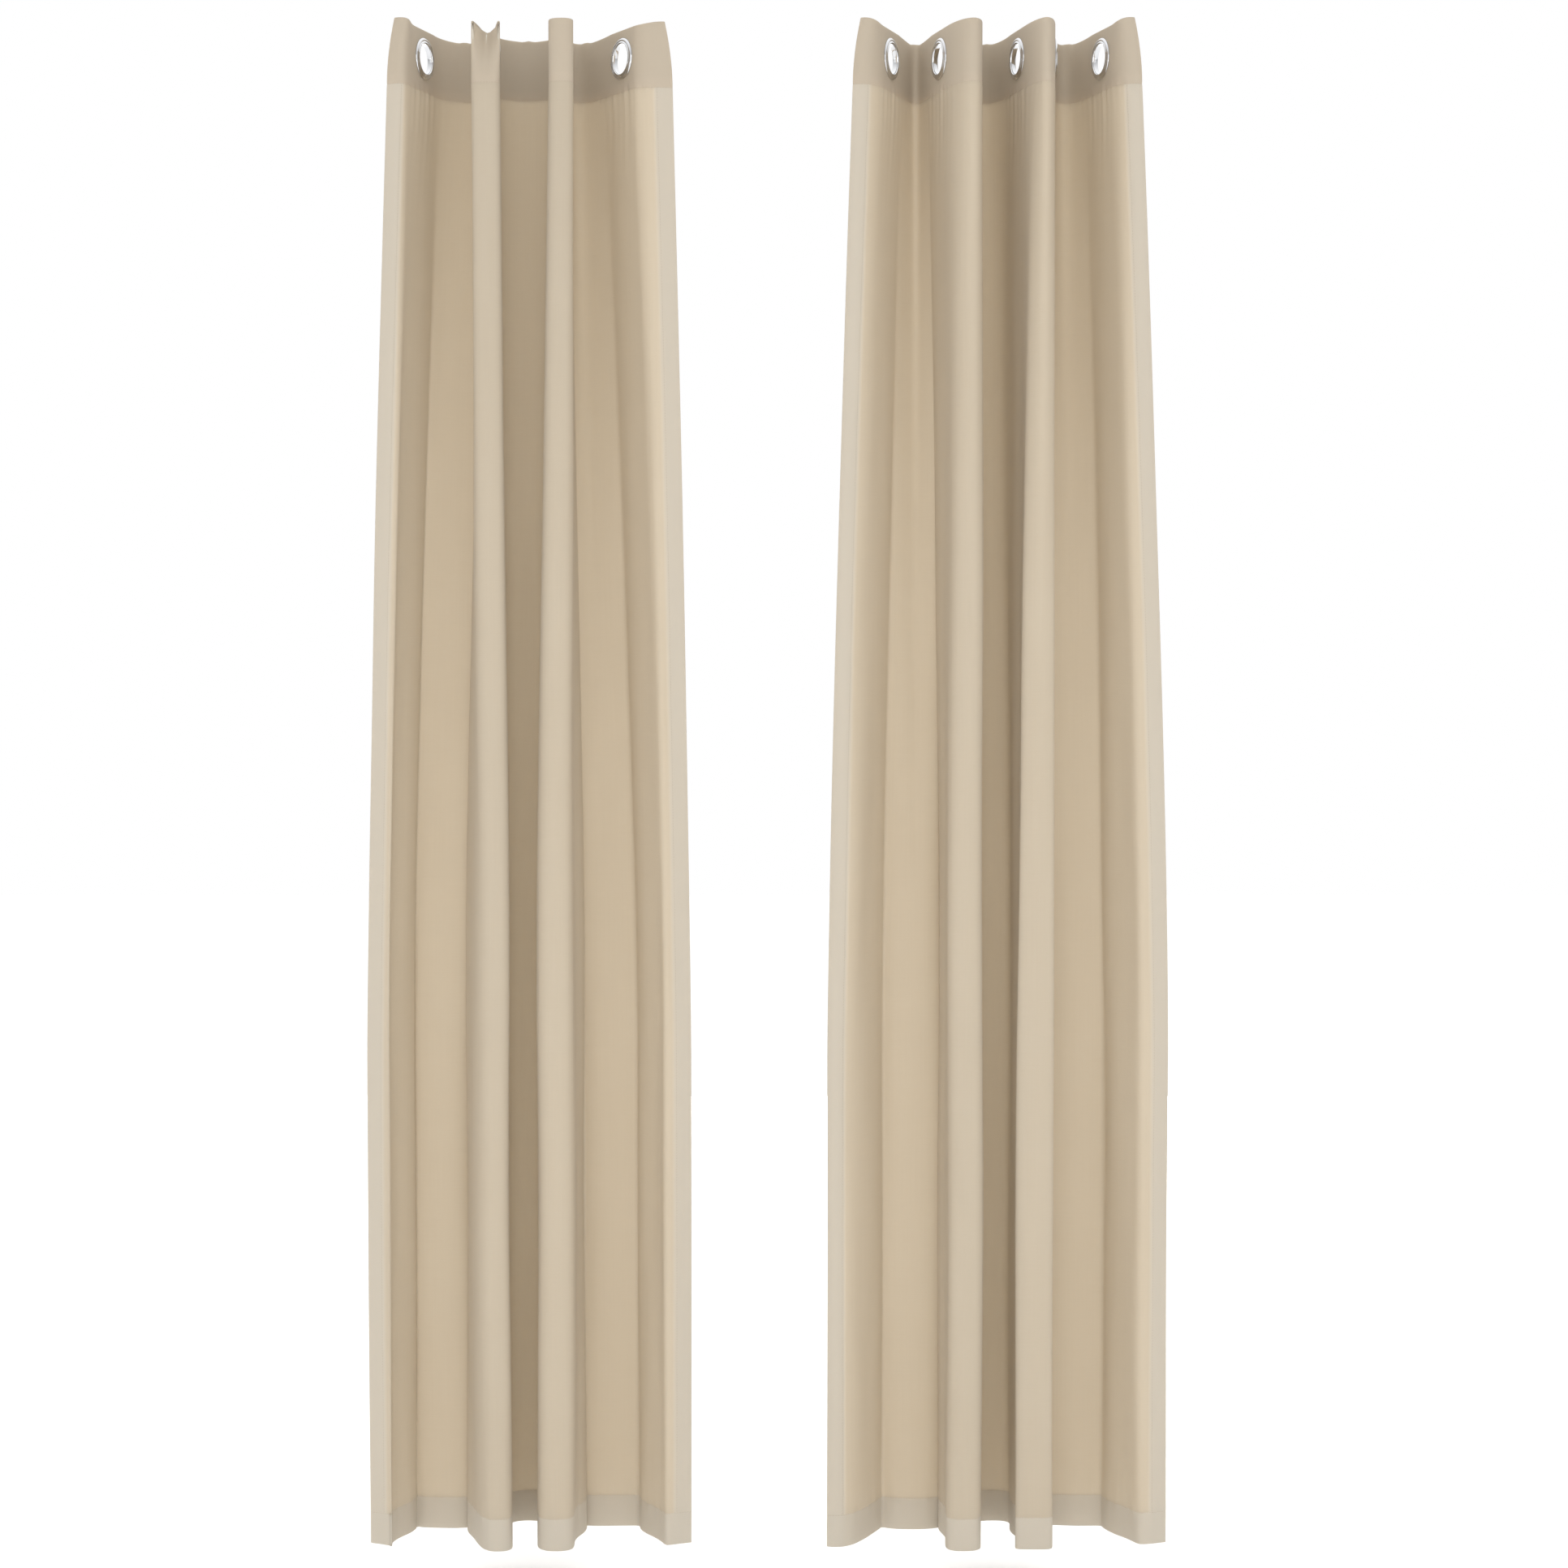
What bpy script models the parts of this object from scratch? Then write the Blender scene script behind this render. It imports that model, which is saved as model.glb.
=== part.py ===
"""A pair of eyelet curtain panels, hanging gathered on the line of their rod.

Metres, +Z up. The origin is on the rod's axis, midway between the two outermost
eyelets. +X runs along the rod to the right, as seen from the room, and -Y points into
the room. Each panel is cut into six pleats at its fold noses, one for each eyelet,
because each eyelet slides on the rod with its own share of the cloth.
"""
import math
from dataclasses import dataclass

import bpy
import numpy as np
from mathutils import Vector

OBJECT_NAME = "eyelet_curtain_pair"

# One panel: finished width and drop, and the cloth turned over at its two ends.
PANEL_WIDTH = 1.067
PANEL_DROP = 2.134
HEADER_TURN = 0.086
HEM_TURN = 0.045
EYELETS = 6
PLEAT = PANEL_WIDTH / EYELETS
PLEAT_GAP = 0.0014
CLEARANCE = 0.0003

# Heights, from the rod's axis.
TOP_EDGE = 0.040
HEADER_SEAM = TOP_EDGE - HEADER_TURN
BOTTOM_EDGE = TOP_EDGE - PANEL_DROP

# The cloth and the stiffener that lies inside the header.
CLOTH_THICKNESS = 0.0008
LAYER_STEP = 0.003
STIFFENER_THICKNESS = 0.0008
STIFFENER_EDGE = 0.004

# Eyelets: a moulded front ring with a barrel, and a back ring that snaps on to it.
BORE_RADIUS = 0.0205
BARREL_RADIUS = 0.0218
FLANGE_RADIUS = 0.029
BACK_FLANGE_RADIUS = 0.0285
CLOTH_HOLE_RADIUS = 0.023
CROWN_HEIGHT = 0.0029
BARREL_REACH = 0.0022
BACK_RING_HEIGHT = 0.0021
RING_SEGMENTS = 16

# The front flange's section, from its crest over the shoulder to the lip on the cloth,
# then the mouth that flares from the barrel. Heights are from the flange's seat.
CREST_RADIUS = 0.0245
SHOULDER_RADIUS = 0.0278
SHOULDER_HEIGHT = 0.0020
LIP_HEIGHT = 0.0007
LIP_INSET = 0.0002
THROAT_HEIGHT = 0.0012
MOUTH_FLARE = 0.0014
MOUTH_DROP = 0.0005

# The back ring's section, in the same order.
BACK_CREST_RADIUS = 0.0252
BACK_LIP_HEIGHT = 0.0011
BACK_LIP_INSET = 0.0003
BACK_THROAT_HEIGHT = 0.0014
BACK_MOUTH_FLARE = 0.0006
BACK_MOUTH_DROP = 0.0002

# The eyelets' holes in the cloth.
HOLE_SEGMENTS = 16
HOLE_CUTTER_LENGTH = 0.030

# The cloth lies flat for this far on each side of an eyelet, as wide as its flange.
FLAT_HALF = 0.031

# Below the header the folds settle into their hanging shape over this drop.
SETTLING_DROP = 1.35
SETTLING_POWER = 1.35


@dataclass(frozen=True)
class Station:
    """A place on a panel, seen from above: where the cloth is, and which way it runs."""

    x: float
    y: float
    heading: float


@dataclass(frozen=True)
class Panel:
    """How one panel hangs. Headings are in degrees, from +X towards the wall behind."""

    side: str
    eyelets: tuple
    header_edges: tuple
    header_noses: dict
    skirt: tuple


# Eyelet places along the rod with the cloth's heading there, then the two side edges
# at the header, then the noses that are pressed wide there, by how many pleats across
# they are, then a station every half pleat where the cloth hangs free.
LEFT = Panel(
    side="left",
    eyelets=(
        Station(-0.474, 0.0, 72), Station(-0.395, 0.0, -95), Station(-0.372, 0.0, 98),
        Station(-0.291, 0.0, -94), Station(-0.270, 0.0, 97), Station(-0.197, 0.0, -57),
    ),
    header_edges=(Station(-0.519, -0.056, -25), Station(-0.125, -0.032, 10)),
    header_noses={2: Station(-0.3815, -0.074, 0), 4: Station(-0.2768, -0.0775, 0)},
    skirt=(
        Station(-0.557, -0.036, -20),
        Station(-0.514, 0.0, 60), Station(-0.461, 0.034, 0), Station(-0.418, 0.0, -70),
        Station(-0.376, -0.073, 0), Station(-0.368, 0.0, 100), Station(-0.342, 0.072, 0),
        Station(-0.314, 0.0, -98), Station(-0.290, -0.072, 0), Station(-0.262, 0.0, 72),
        Station(-0.220, 0.044, 0), Station(-0.160, 0.0, -54),
        Station(-0.101, -0.034, 20),
    ),
)
RIGHT = Panel(
    side="right",
    eyelets=(
        Station(0.180, 0.0, 68), Station(0.248, 0.0, -73), Station(0.301, 0.0, 95),
        Station(0.357, 0.0, -75), Station(0.409, 0.0, 86), Station(0.474, 0.0, -72),
    ),
    header_edges=(Station(0.125, -0.056, -25), Station(0.525, -0.058, 25)),
    header_noses={},
    skirt=(
        Station(0.091, -0.050, -20),
        Station(0.154, 0.0, 60), Station(0.217, 0.030, 0), Station(0.257, 0.0, -74),
        Station(0.284, -0.072, 0), Station(0.301, 0.0, 97), Station(0.330, 0.070, 0),
        Station(0.361, 0.0, -70), Station(0.381, -0.066, 0), Station(0.405, 0.0, 76),
        Station(0.450, 0.046, 0), Station(0.508, 0.0, -57),
        Station(0.572, -0.030, 20),
    ),
)
PANELS = (LEFT, RIGHT)

# Sampling of the smooth shape: points in each run, and halvings to find its handles.
RUN_POINTS = 48
HALVINGS = 40
SLOPE_STEP = 0.001
MERGE_DISTANCE = 0.00001

LONGEST_HANDLE = 4.0
SRGB_KNEE = 0.04045


def clear_scene():
    """Remove every object that the file opened with."""
    for found in list(bpy.data.objects):
        bpy.data.objects.remove(found, do_unlink=True)


def new_collection(name):
    """A collection of the given name, linked to the scene."""
    collection = bpy.data.collections.new(name)
    bpy.context.scene.collection.children.link(collection)
    return collection


def linear(hex_colour):
    """An sRGB hex colour as linear red, green, blue and alpha."""
    channels = [int(hex_colour[i:i + 2], 16) / 255 for i in (1, 3, 5)]
    return [
        c / 12.92 if c <= SRGB_KNEE else ((c + 0.055) / 1.055) ** 2.4 for c in channels
    ] + [1.0]


def new_material(name, hex_colour, roughness, metallic):
    """A Principled material with one plain finish."""
    material = bpy.data.materials.new(name)
    material.use_nodes = True
    shader = material.node_tree.nodes["Principled BSDF"]
    shader.inputs["Base Color"].default_value = linear(hex_colour)
    shader.inputs["Roughness"].default_value = roughness
    shader.inputs["Metallic"].default_value = metallic
    return material


def direction(heading):
    """The unit vector, seen from above, of a heading in degrees."""
    angle = math.radians(heading)
    return np.array([math.cos(angle), math.sin(angle)])


def run(start, start_heading, end, end_heading, cloth):
    """Points of the smooth curve between two places that takes up this much cloth."""
    t = np.linspace(0, 1, RUN_POINTS)[:, None]
    leaving, arriving = direction(start_heading), direction(end_heading)
    short, long = 0.0, LONGEST_HANDLE * cloth
    for _ in range(HALVINGS):
        handle = (short + long) / 2
        points = (
            (1 - t) ** 3 * start
            + 3 * (1 - t) ** 2 * t * (start + handle * leaving)
            + 3 * (1 - t) * t ** 2 * (end - handle * arriving)
            + t ** 3 * end
        )
        if np.linalg.norm(np.diff(points, axis=0), axis=1).sum() < cloth:
            short = handle
        else:
            long = handle
    return points


def join_runs(knots):
    """Widths across the cloth and places for a list of (width, place, heading)."""
    widths, places = [], []
    for (w0, p0, h0), (w1, p1, h1) in zip(knots, knots[1:]):
        points = run(p0, h0, p1, h1, w1 - w0)
        steps = np.linalg.norm(np.diff(points, axis=0), axis=1)
        along = np.concatenate([[0], np.cumsum(steps)])
        widths.append(w0 + along / along[-1] * (w1 - w0))
        places.append(points)
    return np.concatenate(widths), np.concatenate(places)


def header_shape(panel):
    """The stiff header's shape: straight through each eyelet, curved between them."""
    first, last = panel.header_edges
    knots = [(0.0, np.array([first.x, first.y]), first.heading)]
    for index, eyelet in enumerate(panel.eyelets):
        centre, forward = np.array([eyelet.x, eyelet.y]), direction(eyelet.heading)
        width = (index + 0.5) * PLEAT
        for side in (-FLAT_HALF, FLAT_HALF):
            knots.append((width + side, centre + side * forward, eyelet.heading))
        nose = panel.header_noses.get(index + 1)
        if nose:
            knots.append(((index + 1) * PLEAT, np.array([nose.x, nose.y]), nose.heading))
    knots.append((PANEL_WIDTH, np.array([last.x, last.y]), last.heading))
    return join_runs(knots)


def skirt_shape(panel):
    """The shape of the folds where the cloth hangs free."""
    return join_runs([
        (index * PLEAT / 2, np.array([s.x, s.y]), s.heading)
        for index, s in enumerate(panel.skirt)
    ])


def settled(height):
    """How far the folds have settled at a height: 0 in the header, 1 well below it."""
    below = min(max(HEADER_SEAM - height, 0.0) / SETTLING_DROP, 1.0)
    return 1 - (1 - below) ** SETTLING_POWER


def cloth_point(shapes, width, height):
    """The middle of the front layer, seen from above, at a width and a height."""
    share = settled(height)
    places = [
        np.array([np.interp(width, widths, points[:, axis]) for axis in (0, 1)])
        for widths, points in shapes
    ]
    return (1 - share) * places[0] + share * places[1]


def behind(shapes, width, height):
    """The unit vector, seen from above, from the cloth's face to its back."""
    ahead = cloth_point(shapes, min(width + SLOPE_STEP, PANEL_WIDTH), height)
    along = ahead - cloth_point(shapes, max(width - SLOPE_STEP, 0.0), height)
    along /= np.linalg.norm(along)
    return np.array([-along[1], along[0]])


def pleat_widths(index):
    """Where a pleat's columns stand across the panel, from nose to nose."""
    middle = (index + 0.5) * PLEAT
    half = (PLEAT - PLEAT_GAP) / 2
    curved = [FLAT_HALF + share * (half - FLAT_HALF) for share in (0.30, 0.58, 0.80, 1)]
    return (
        [middle - w for w in reversed(curved)]
        + [middle - FLAT_HALF, middle, middle + FLAT_HALF]
        + [middle + w for w in curved]
    )


def pleat_rows():
    """(height, depth behind the face) down the cloth: turn, top, face, hem, turn."""
    turn = LAYER_STEP / 2
    face = [HEADER_SEAM - drop for drop in (0.0, 0.10, 0.25, 0.45, 0.72, SETTLING_DROP)]
    return (
        [(HEADER_SEAM, LAYER_STEP), (TOP_EDGE - turn, LAYER_STEP)]
        + [(TOP_EDGE, turn), (TOP_EDGE - turn, 0.0)]
        + [(height, 0.0) for height in face]
        + [(BOTTOM_EDGE + turn, 0.0), (BOTTOM_EDGE, turn)]
        + [(BOTTOM_EDGE + turn, LAYER_STEP), (BOTTOM_EDGE + HEM_TURN, LAYER_STEP)]
    )


def loft(name, shapes, widths, rows, thickness, material, collection):
    """A sheet through columns and rows of the hanging cloth, given its thickness."""
    points = []
    for height, depth in rows:
        for width in widths:
            x, y = cloth_point(shapes, width, height) + depth * behind(shapes, width, height)
            points.append((x, y, height))
    count = len(widths)
    faces = [
        (row * count + i, row * count + i + 1, (row + 1) * count + i + 1,
         (row + 1) * count + i)
        for row in range(len(rows) - 1)
        for i in range(count - 1)
    ]
    mesh = bpy.data.meshes.new(name)
    mesh.from_pydata(points, [], faces)
    mesh.shade_smooth()
    mesh.materials.append(material)
    sheet = bpy.data.objects.new(name, mesh)
    collection.objects.link(sheet)
    solid = sheet.modifiers.new("thickness", "SOLIDIFY")
    solid.thickness = thickness
    solid.offset = 0.0
    return sheet


def eyelet_rotation(eyelet):
    """The turn that takes a ring's own axis, +Z, to the cloth's face side."""
    forward = direction(eyelet.heading)
    return Vector((forward[1], -forward[0], 0)).to_track_quat("Z", "Y").to_euler()


def cut_eyelet_hole(sheet, eyelet, cutters):
    """Cut the eyelet's hole through every layer of a sheet."""
    bpy.ops.mesh.primitive_cylinder_add(
        vertices=HOLE_SEGMENTS, radius=CLOTH_HOLE_RADIUS, depth=HOLE_CUTTER_LENGTH,
        location=(eyelet.x, eyelet.y, 0), rotation=eyelet_rotation(eyelet),
    )
    cutter = bpy.context.object
    cutter.name = sheet.name + "_hole"
    for holder in list(cutter.users_collection):
        holder.objects.unlink(cutter)
    cutters.objects.link(cutter)
    cutter.hide_render = True
    cutter.display_type = "WIRE"
    cut = sheet.modifiers.new("eyelet hole", "BOOLEAN")
    cut.operation = "DIFFERENCE"
    cut.solver = "EXACT"
    cut.object = cutter


def turned_ring(name, profile, eyelet, material, collection):
    """A ring turned from a closed profile of (radius, distance in front) points."""
    mesh = bpy.data.meshes.new(name)
    points = [(radius, 0, front) for radius, front in profile]
    edges = [(i, (i + 1) % len(points)) for i in range(len(points))]
    mesh.from_pydata(points, edges, [])
    mesh.materials.append(material)
    ring = bpy.data.objects.new(name, mesh)
    collection.objects.link(ring)
    ring.location = (eyelet.x, eyelet.y, 0)
    ring.rotation_euler = eyelet_rotation(eyelet)
    screw = ring.modifiers.new("turned", "SCREW")
    screw.angle = math.tau
    screw.steps = screw.render_steps = RING_SEGMENTS
    screw.use_merge_vertices = True
    screw.merge_threshold = MERGE_DISTANCE
    screw.use_smooth_shade = True
    return ring


def front_ring_profile():
    """The domed flange, its rounded lip and the barrel that goes through the cloth."""
    seat = CLOTH_THICKNESS / 2 + CLEARANCE
    crown = seat + CROWN_HEIGHT
    barrel_end = -(LAYER_STEP + BARREL_REACH)
    return [
        (CREST_RADIUS, crown),
        (SHOULDER_RADIUS, seat + SHOULDER_HEIGHT),
        (FLANGE_RADIUS, seat + LIP_HEIGHT),
        (FLANGE_RADIUS - LIP_INSET, seat),
        (BARREL_RADIUS, seat),
        (BARREL_RADIUS, barrel_end),
        (BORE_RADIUS, barrel_end),
        (BORE_RADIUS, seat + THROAT_HEIGHT),
        (BORE_RADIUS + MOUTH_FLARE, crown - MOUTH_DROP),
    ]


def back_ring_profile():
    """The flatter ring that closes the eyelet behind the header."""
    seat = -(LAYER_STEP + CLOTH_THICKNESS / 2 + CLEARANCE)
    crest = seat - BACK_RING_HEIGHT
    inner = BARREL_RADIUS + CLEARANCE
    return [
        (BACK_FLANGE_RADIUS, seat),
        (BACK_FLANGE_RADIUS - BACK_LIP_INSET, seat - BACK_LIP_HEIGHT),
        (BACK_CREST_RADIUS, crest),
        (inner + BACK_MOUTH_FLARE, crest + BACK_MOUTH_DROP),
        (inner, seat - BACK_THROAT_HEIGHT),
        (inner, seat),
    ]


def build_pleat(panel, shapes, index, finishes, parts, cutters):
    """One eyelet's share of a panel: its cloth, its stiffener and its two rings."""
    eyelet, number = panel.eyelets[index], index + 1
    cloth = loft(
        f"{panel.side}_pleat_{number}", shapes, pleat_widths(index), pleat_rows(),
        CLOTH_THICKNESS, finishes["cloth"], parts,
    )
    stiffener_rows = [
        (TOP_EDGE - STIFFENER_EDGE, LAYER_STEP / 2),
        (HEADER_SEAM + STIFFENER_EDGE, LAYER_STEP / 2),
    ]
    stiffener = loft(
        f"{panel.side}_header_stiffener_{number}", shapes, pleat_widths(index),
        stiffener_rows, STIFFENER_THICKNESS, finishes["stiffener"], parts,
    )
    for sheet in (cloth, stiffener):
        cut_eyelet_hole(sheet, eyelet, cutters)
    turned_ring(
        f"{panel.side}_eyelet_{number}_front_ring", front_ring_profile(), eyelet,
        finishes["front_ring"], parts,
    )
    turned_ring(
        f"{panel.side}_eyelet_{number}_back_ring", back_ring_profile(), eyelet,
        finishes["back_ring"], parts,
    )


def main():
    """Build both panels."""
    clear_scene()
    parts = new_collection(OBJECT_NAME)
    cutters = new_collection("cutters")
    finishes = {
        "cloth": new_material("woven_polyester_cloth", "#C9BAA2", 0.9, 0.0),
        "stiffener": new_material("buckram", "#E6E1D6", 0.85, 0.0),
        "front_ring": new_material("chrome_plated_front_ring", "#D9DADC", 0.12, 1.0),
        "back_ring": new_material("chrome_plated_back_ring", "#D2D3D6", 0.18, 1.0),
    }
    for panel in PANELS:
        shapes = (header_shape(panel), skirt_shape(panel))
        for index in range(EYELETS):
            build_pleat(panel, shapes, index, finishes, parts, cutters)


main()
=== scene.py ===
"""Studio scene of a pair of eyelet curtain panels, hanging gathered on their rod's line.

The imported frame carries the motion: every eyelet slides along the rod, and the two
leading eyelets draw their panel. This script makes the surfaces that are seen, which are
two sewn cloth panels, the buckram inside their headers, their chrome eyelets and every
stitch, and it dresses and lights them.

Metres, +Z up, origin on the rod's axis midway between the outermost eyelets. +X runs
along the rod to the right as seen from the room, and -Y points into the room.
"""
from __future__ import annotations

import logging
import math
from dataclasses import dataclass
from enum import Enum
from typing import Any, Sequence

import bmesh
import bpy
import numpy as np
from mathutils import Matrix, Vector

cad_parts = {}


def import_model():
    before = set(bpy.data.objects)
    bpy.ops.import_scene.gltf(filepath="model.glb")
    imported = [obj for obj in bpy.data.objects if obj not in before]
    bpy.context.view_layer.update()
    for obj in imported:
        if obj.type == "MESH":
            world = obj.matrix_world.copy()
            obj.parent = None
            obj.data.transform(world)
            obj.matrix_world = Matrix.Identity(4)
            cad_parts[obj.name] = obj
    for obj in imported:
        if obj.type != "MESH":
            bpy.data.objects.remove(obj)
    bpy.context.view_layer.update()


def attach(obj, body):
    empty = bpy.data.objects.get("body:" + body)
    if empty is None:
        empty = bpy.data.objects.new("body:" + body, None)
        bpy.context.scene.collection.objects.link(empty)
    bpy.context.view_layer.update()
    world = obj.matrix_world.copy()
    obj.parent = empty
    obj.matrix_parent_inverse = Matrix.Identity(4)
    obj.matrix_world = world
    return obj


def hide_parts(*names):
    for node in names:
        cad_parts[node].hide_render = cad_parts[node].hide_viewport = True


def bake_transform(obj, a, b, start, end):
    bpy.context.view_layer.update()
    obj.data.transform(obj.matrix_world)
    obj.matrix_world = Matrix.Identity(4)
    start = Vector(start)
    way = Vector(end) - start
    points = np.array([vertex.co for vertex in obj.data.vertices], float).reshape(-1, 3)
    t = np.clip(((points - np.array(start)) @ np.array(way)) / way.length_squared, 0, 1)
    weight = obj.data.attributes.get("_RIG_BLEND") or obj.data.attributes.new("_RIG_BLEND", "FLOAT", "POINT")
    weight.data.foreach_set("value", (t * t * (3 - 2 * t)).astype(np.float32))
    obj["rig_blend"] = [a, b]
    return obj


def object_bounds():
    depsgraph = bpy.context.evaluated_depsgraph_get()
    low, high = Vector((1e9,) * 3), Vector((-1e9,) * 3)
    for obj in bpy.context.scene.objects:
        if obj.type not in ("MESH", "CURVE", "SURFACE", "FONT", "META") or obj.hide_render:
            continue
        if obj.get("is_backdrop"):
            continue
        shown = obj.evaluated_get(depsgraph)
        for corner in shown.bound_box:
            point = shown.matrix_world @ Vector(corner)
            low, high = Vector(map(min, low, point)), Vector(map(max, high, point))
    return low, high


LOG = logging.getLogger("curtains")
MM = 0.001
FlatArray = np.ndarray


class Side(Enum):
    """Which panel of the pair, as seen from the room."""

    LEFT = "left"
    RIGHT = "right"


class Slot(Enum):
    """The record's material slots."""

    CLOTH = "cloth"
    STIFFENER = "header_stiffener"
    FRONT_RING = "eyelet_front"
    BACK_RING = "eyelet_back"


# --------------------------------------------------------------------------- sizes


@dataclass(frozen=True)
class Station:
    """A place on a panel, seen from above, and the heading of the cloth there."""

    x: float
    y: float
    heading: float

    @property
    def place(self) -> FlatArray:
        """The place as an array."""
        return np.array([self.x, self.y])

    @property
    def forward(self) -> FlatArray:
        """The unit vector along the cloth."""
        angle = math.radians(self.heading)
        return np.array([math.cos(angle), math.sin(angle)])


@dataclass(frozen=True)
class Layout:
    """How one panel hangs, seen from above.

    eyelets are on the rod, header_edges are the two side edges at the header,
    header_noses holds the fold noses that are pressed wide there, by how many pleats
    across they are, and skirt holds a station every half pleat where the cloth hangs
    free. draw_shares says how far each eyelet travels for each metre that the leading
    one does.
    """

    side: Side
    eyelets: tuple[Station, ...]
    header_edges: tuple[Station, Station]
    header_noses: dict[int, Station]
    skirt: tuple[Station, ...]
    draw_shares: tuple[float, ...]
    pinched_noses: tuple[int, ...]

    @property
    def leading_body(self) -> str:
        """The body of the eyelet that draws the panel."""
        return self.body(self.draw_shares.index(1.0))

    def body(self, index: int) -> str:
        """The frame's body that an eyelet, counted from 0, belongs to."""
        if self.draw_shares[index] == 0.0:
            return "parked_ends"
        return f"{self.side.value}_eyelet_{index + 1}"


LEFT = Layout(
    side=Side.LEFT,
    eyelets=(
        Station(-0.474, 0.0, 72), Station(-0.395, 0.0, -95), Station(-0.372, 0.0, 98),
        Station(-0.291, 0.0, -94), Station(-0.270, 0.0, 97), Station(-0.197, 0.0, -57),
    ),
    header_edges=(Station(-0.519, -0.056, -25), Station(-0.125, -0.032, 10)),
    header_noses={2: Station(-0.3815, -0.074, 0), 4: Station(-0.2768, -0.0775, 0)},
    skirt=(
        Station(-0.557, -0.036, -20),
        Station(-0.514, 0.0, 60), Station(-0.461, 0.034, 0), Station(-0.418, 0.0, -70),
        Station(-0.376, -0.073, 0), Station(-0.368, 0.0, 100), Station(-0.342, 0.072, 0),
        Station(-0.314, 0.0, -98), Station(-0.290, -0.072, 0), Station(-0.262, 0.0, 72),
        Station(-0.220, 0.044, 0), Station(-0.160, 0.0, -54),
        Station(-0.101, -0.034, 20),
    ),
    draw_shares=(0.0, 0.31, 0.33, 0.70, 0.71, 1.0),
    pinched_noses=(2,),
)
RIGHT = Layout(
    side=Side.RIGHT,
    eyelets=(
        Station(0.180, 0.0, 68), Station(0.248, 0.0, -73), Station(0.301, 0.0, 95),
        Station(0.357, 0.0, -75), Station(0.409, 0.0, 86), Station(0.474, 0.0, -72),
    ),
    header_edges=(Station(0.125, -0.056, -25), Station(0.525, -0.058, 25)),
    header_noses={},
    skirt=(
        Station(0.091, -0.050, -20),
        Station(0.154, 0.0, 60), Station(0.217, 0.030, 0), Station(0.257, 0.0, -74),
        Station(0.284, -0.072, 0), Station(0.301, 0.0, 97), Station(0.330, 0.070, 0),
        Station(0.361, 0.0, -70), Station(0.381, -0.066, 0), Station(0.405, 0.0, 76),
        Station(0.450, 0.046, 0), Station(0.508, 0.0, -57),
        Station(0.572, -0.030, 20),
    ),
    draw_shares=(1.0, 0.75, 0.60, 0.37, 0.22, 0.0),
    pinched_noses=(),
)


@dataclass(frozen=True)
class Cut:
    """The sewn panel's sizes, in metres; heights are from the rod's axis."""

    width: float = 1.067
    drop: float = 2.134
    top_edge: float = 0.040
    header_turn: float = 0.086
    hem_turn: float = 0.045
    side_hem: float = 0.025
    seam_allowance: float = 0.012
    eyelets: int = 6
    flat_half: float = 0.031
    hole_radius: float = 0.023
    thickness: float = 0.00045
    turn_step: float = 0.003
    side_step: float = 0.0009
    settling_drop: float = 1.35
    settling_power: float = 1.35

    @property
    def pleat(self) -> float:
        """The cloth between two eyelets."""
        return self.width / self.eyelets

    @property
    def header_seam(self) -> float:
        """The height of the stitching under the eyelets."""
        return self.top_edge - self.header_turn

    @property
    def bottom_edge(self) -> float:
        """The height of the hem's fold."""
        return self.top_edge - self.drop

    @property
    def hem_seam(self) -> float:
        """The height of the hem's stitching."""
        return self.bottom_edge + self.hem_turn

    @property
    def flat_size(self) -> tuple[float, float]:
        """The cloth's width and length before it was sewn."""
        return (
            self.width + 2 * self.side_hem,
            self.drop + self.header_turn + self.hem_turn,
        )

    def eyelet_width(self, index: int) -> float:
        """How far across the panel an eyelet, counted from 0, is set."""
        return (index + 0.5) * self.pleat


# --------------------------------------------------------------------------- shape


def smooth_step(value: FlatArray, low: float, high: float) -> FlatArray:
    """A smooth rise from 0 at low to 1 at high."""
    share = np.clip((value - low) / (high - low), 0.0, 1.0)
    return share * share * (3 - 2 * share)


def hill(value: FlatArray, middle: float, spread: float) -> FlatArray:
    """A rounded hill of height 1."""
    return np.exp(-(((value - middle) / spread) ** 2))


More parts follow.
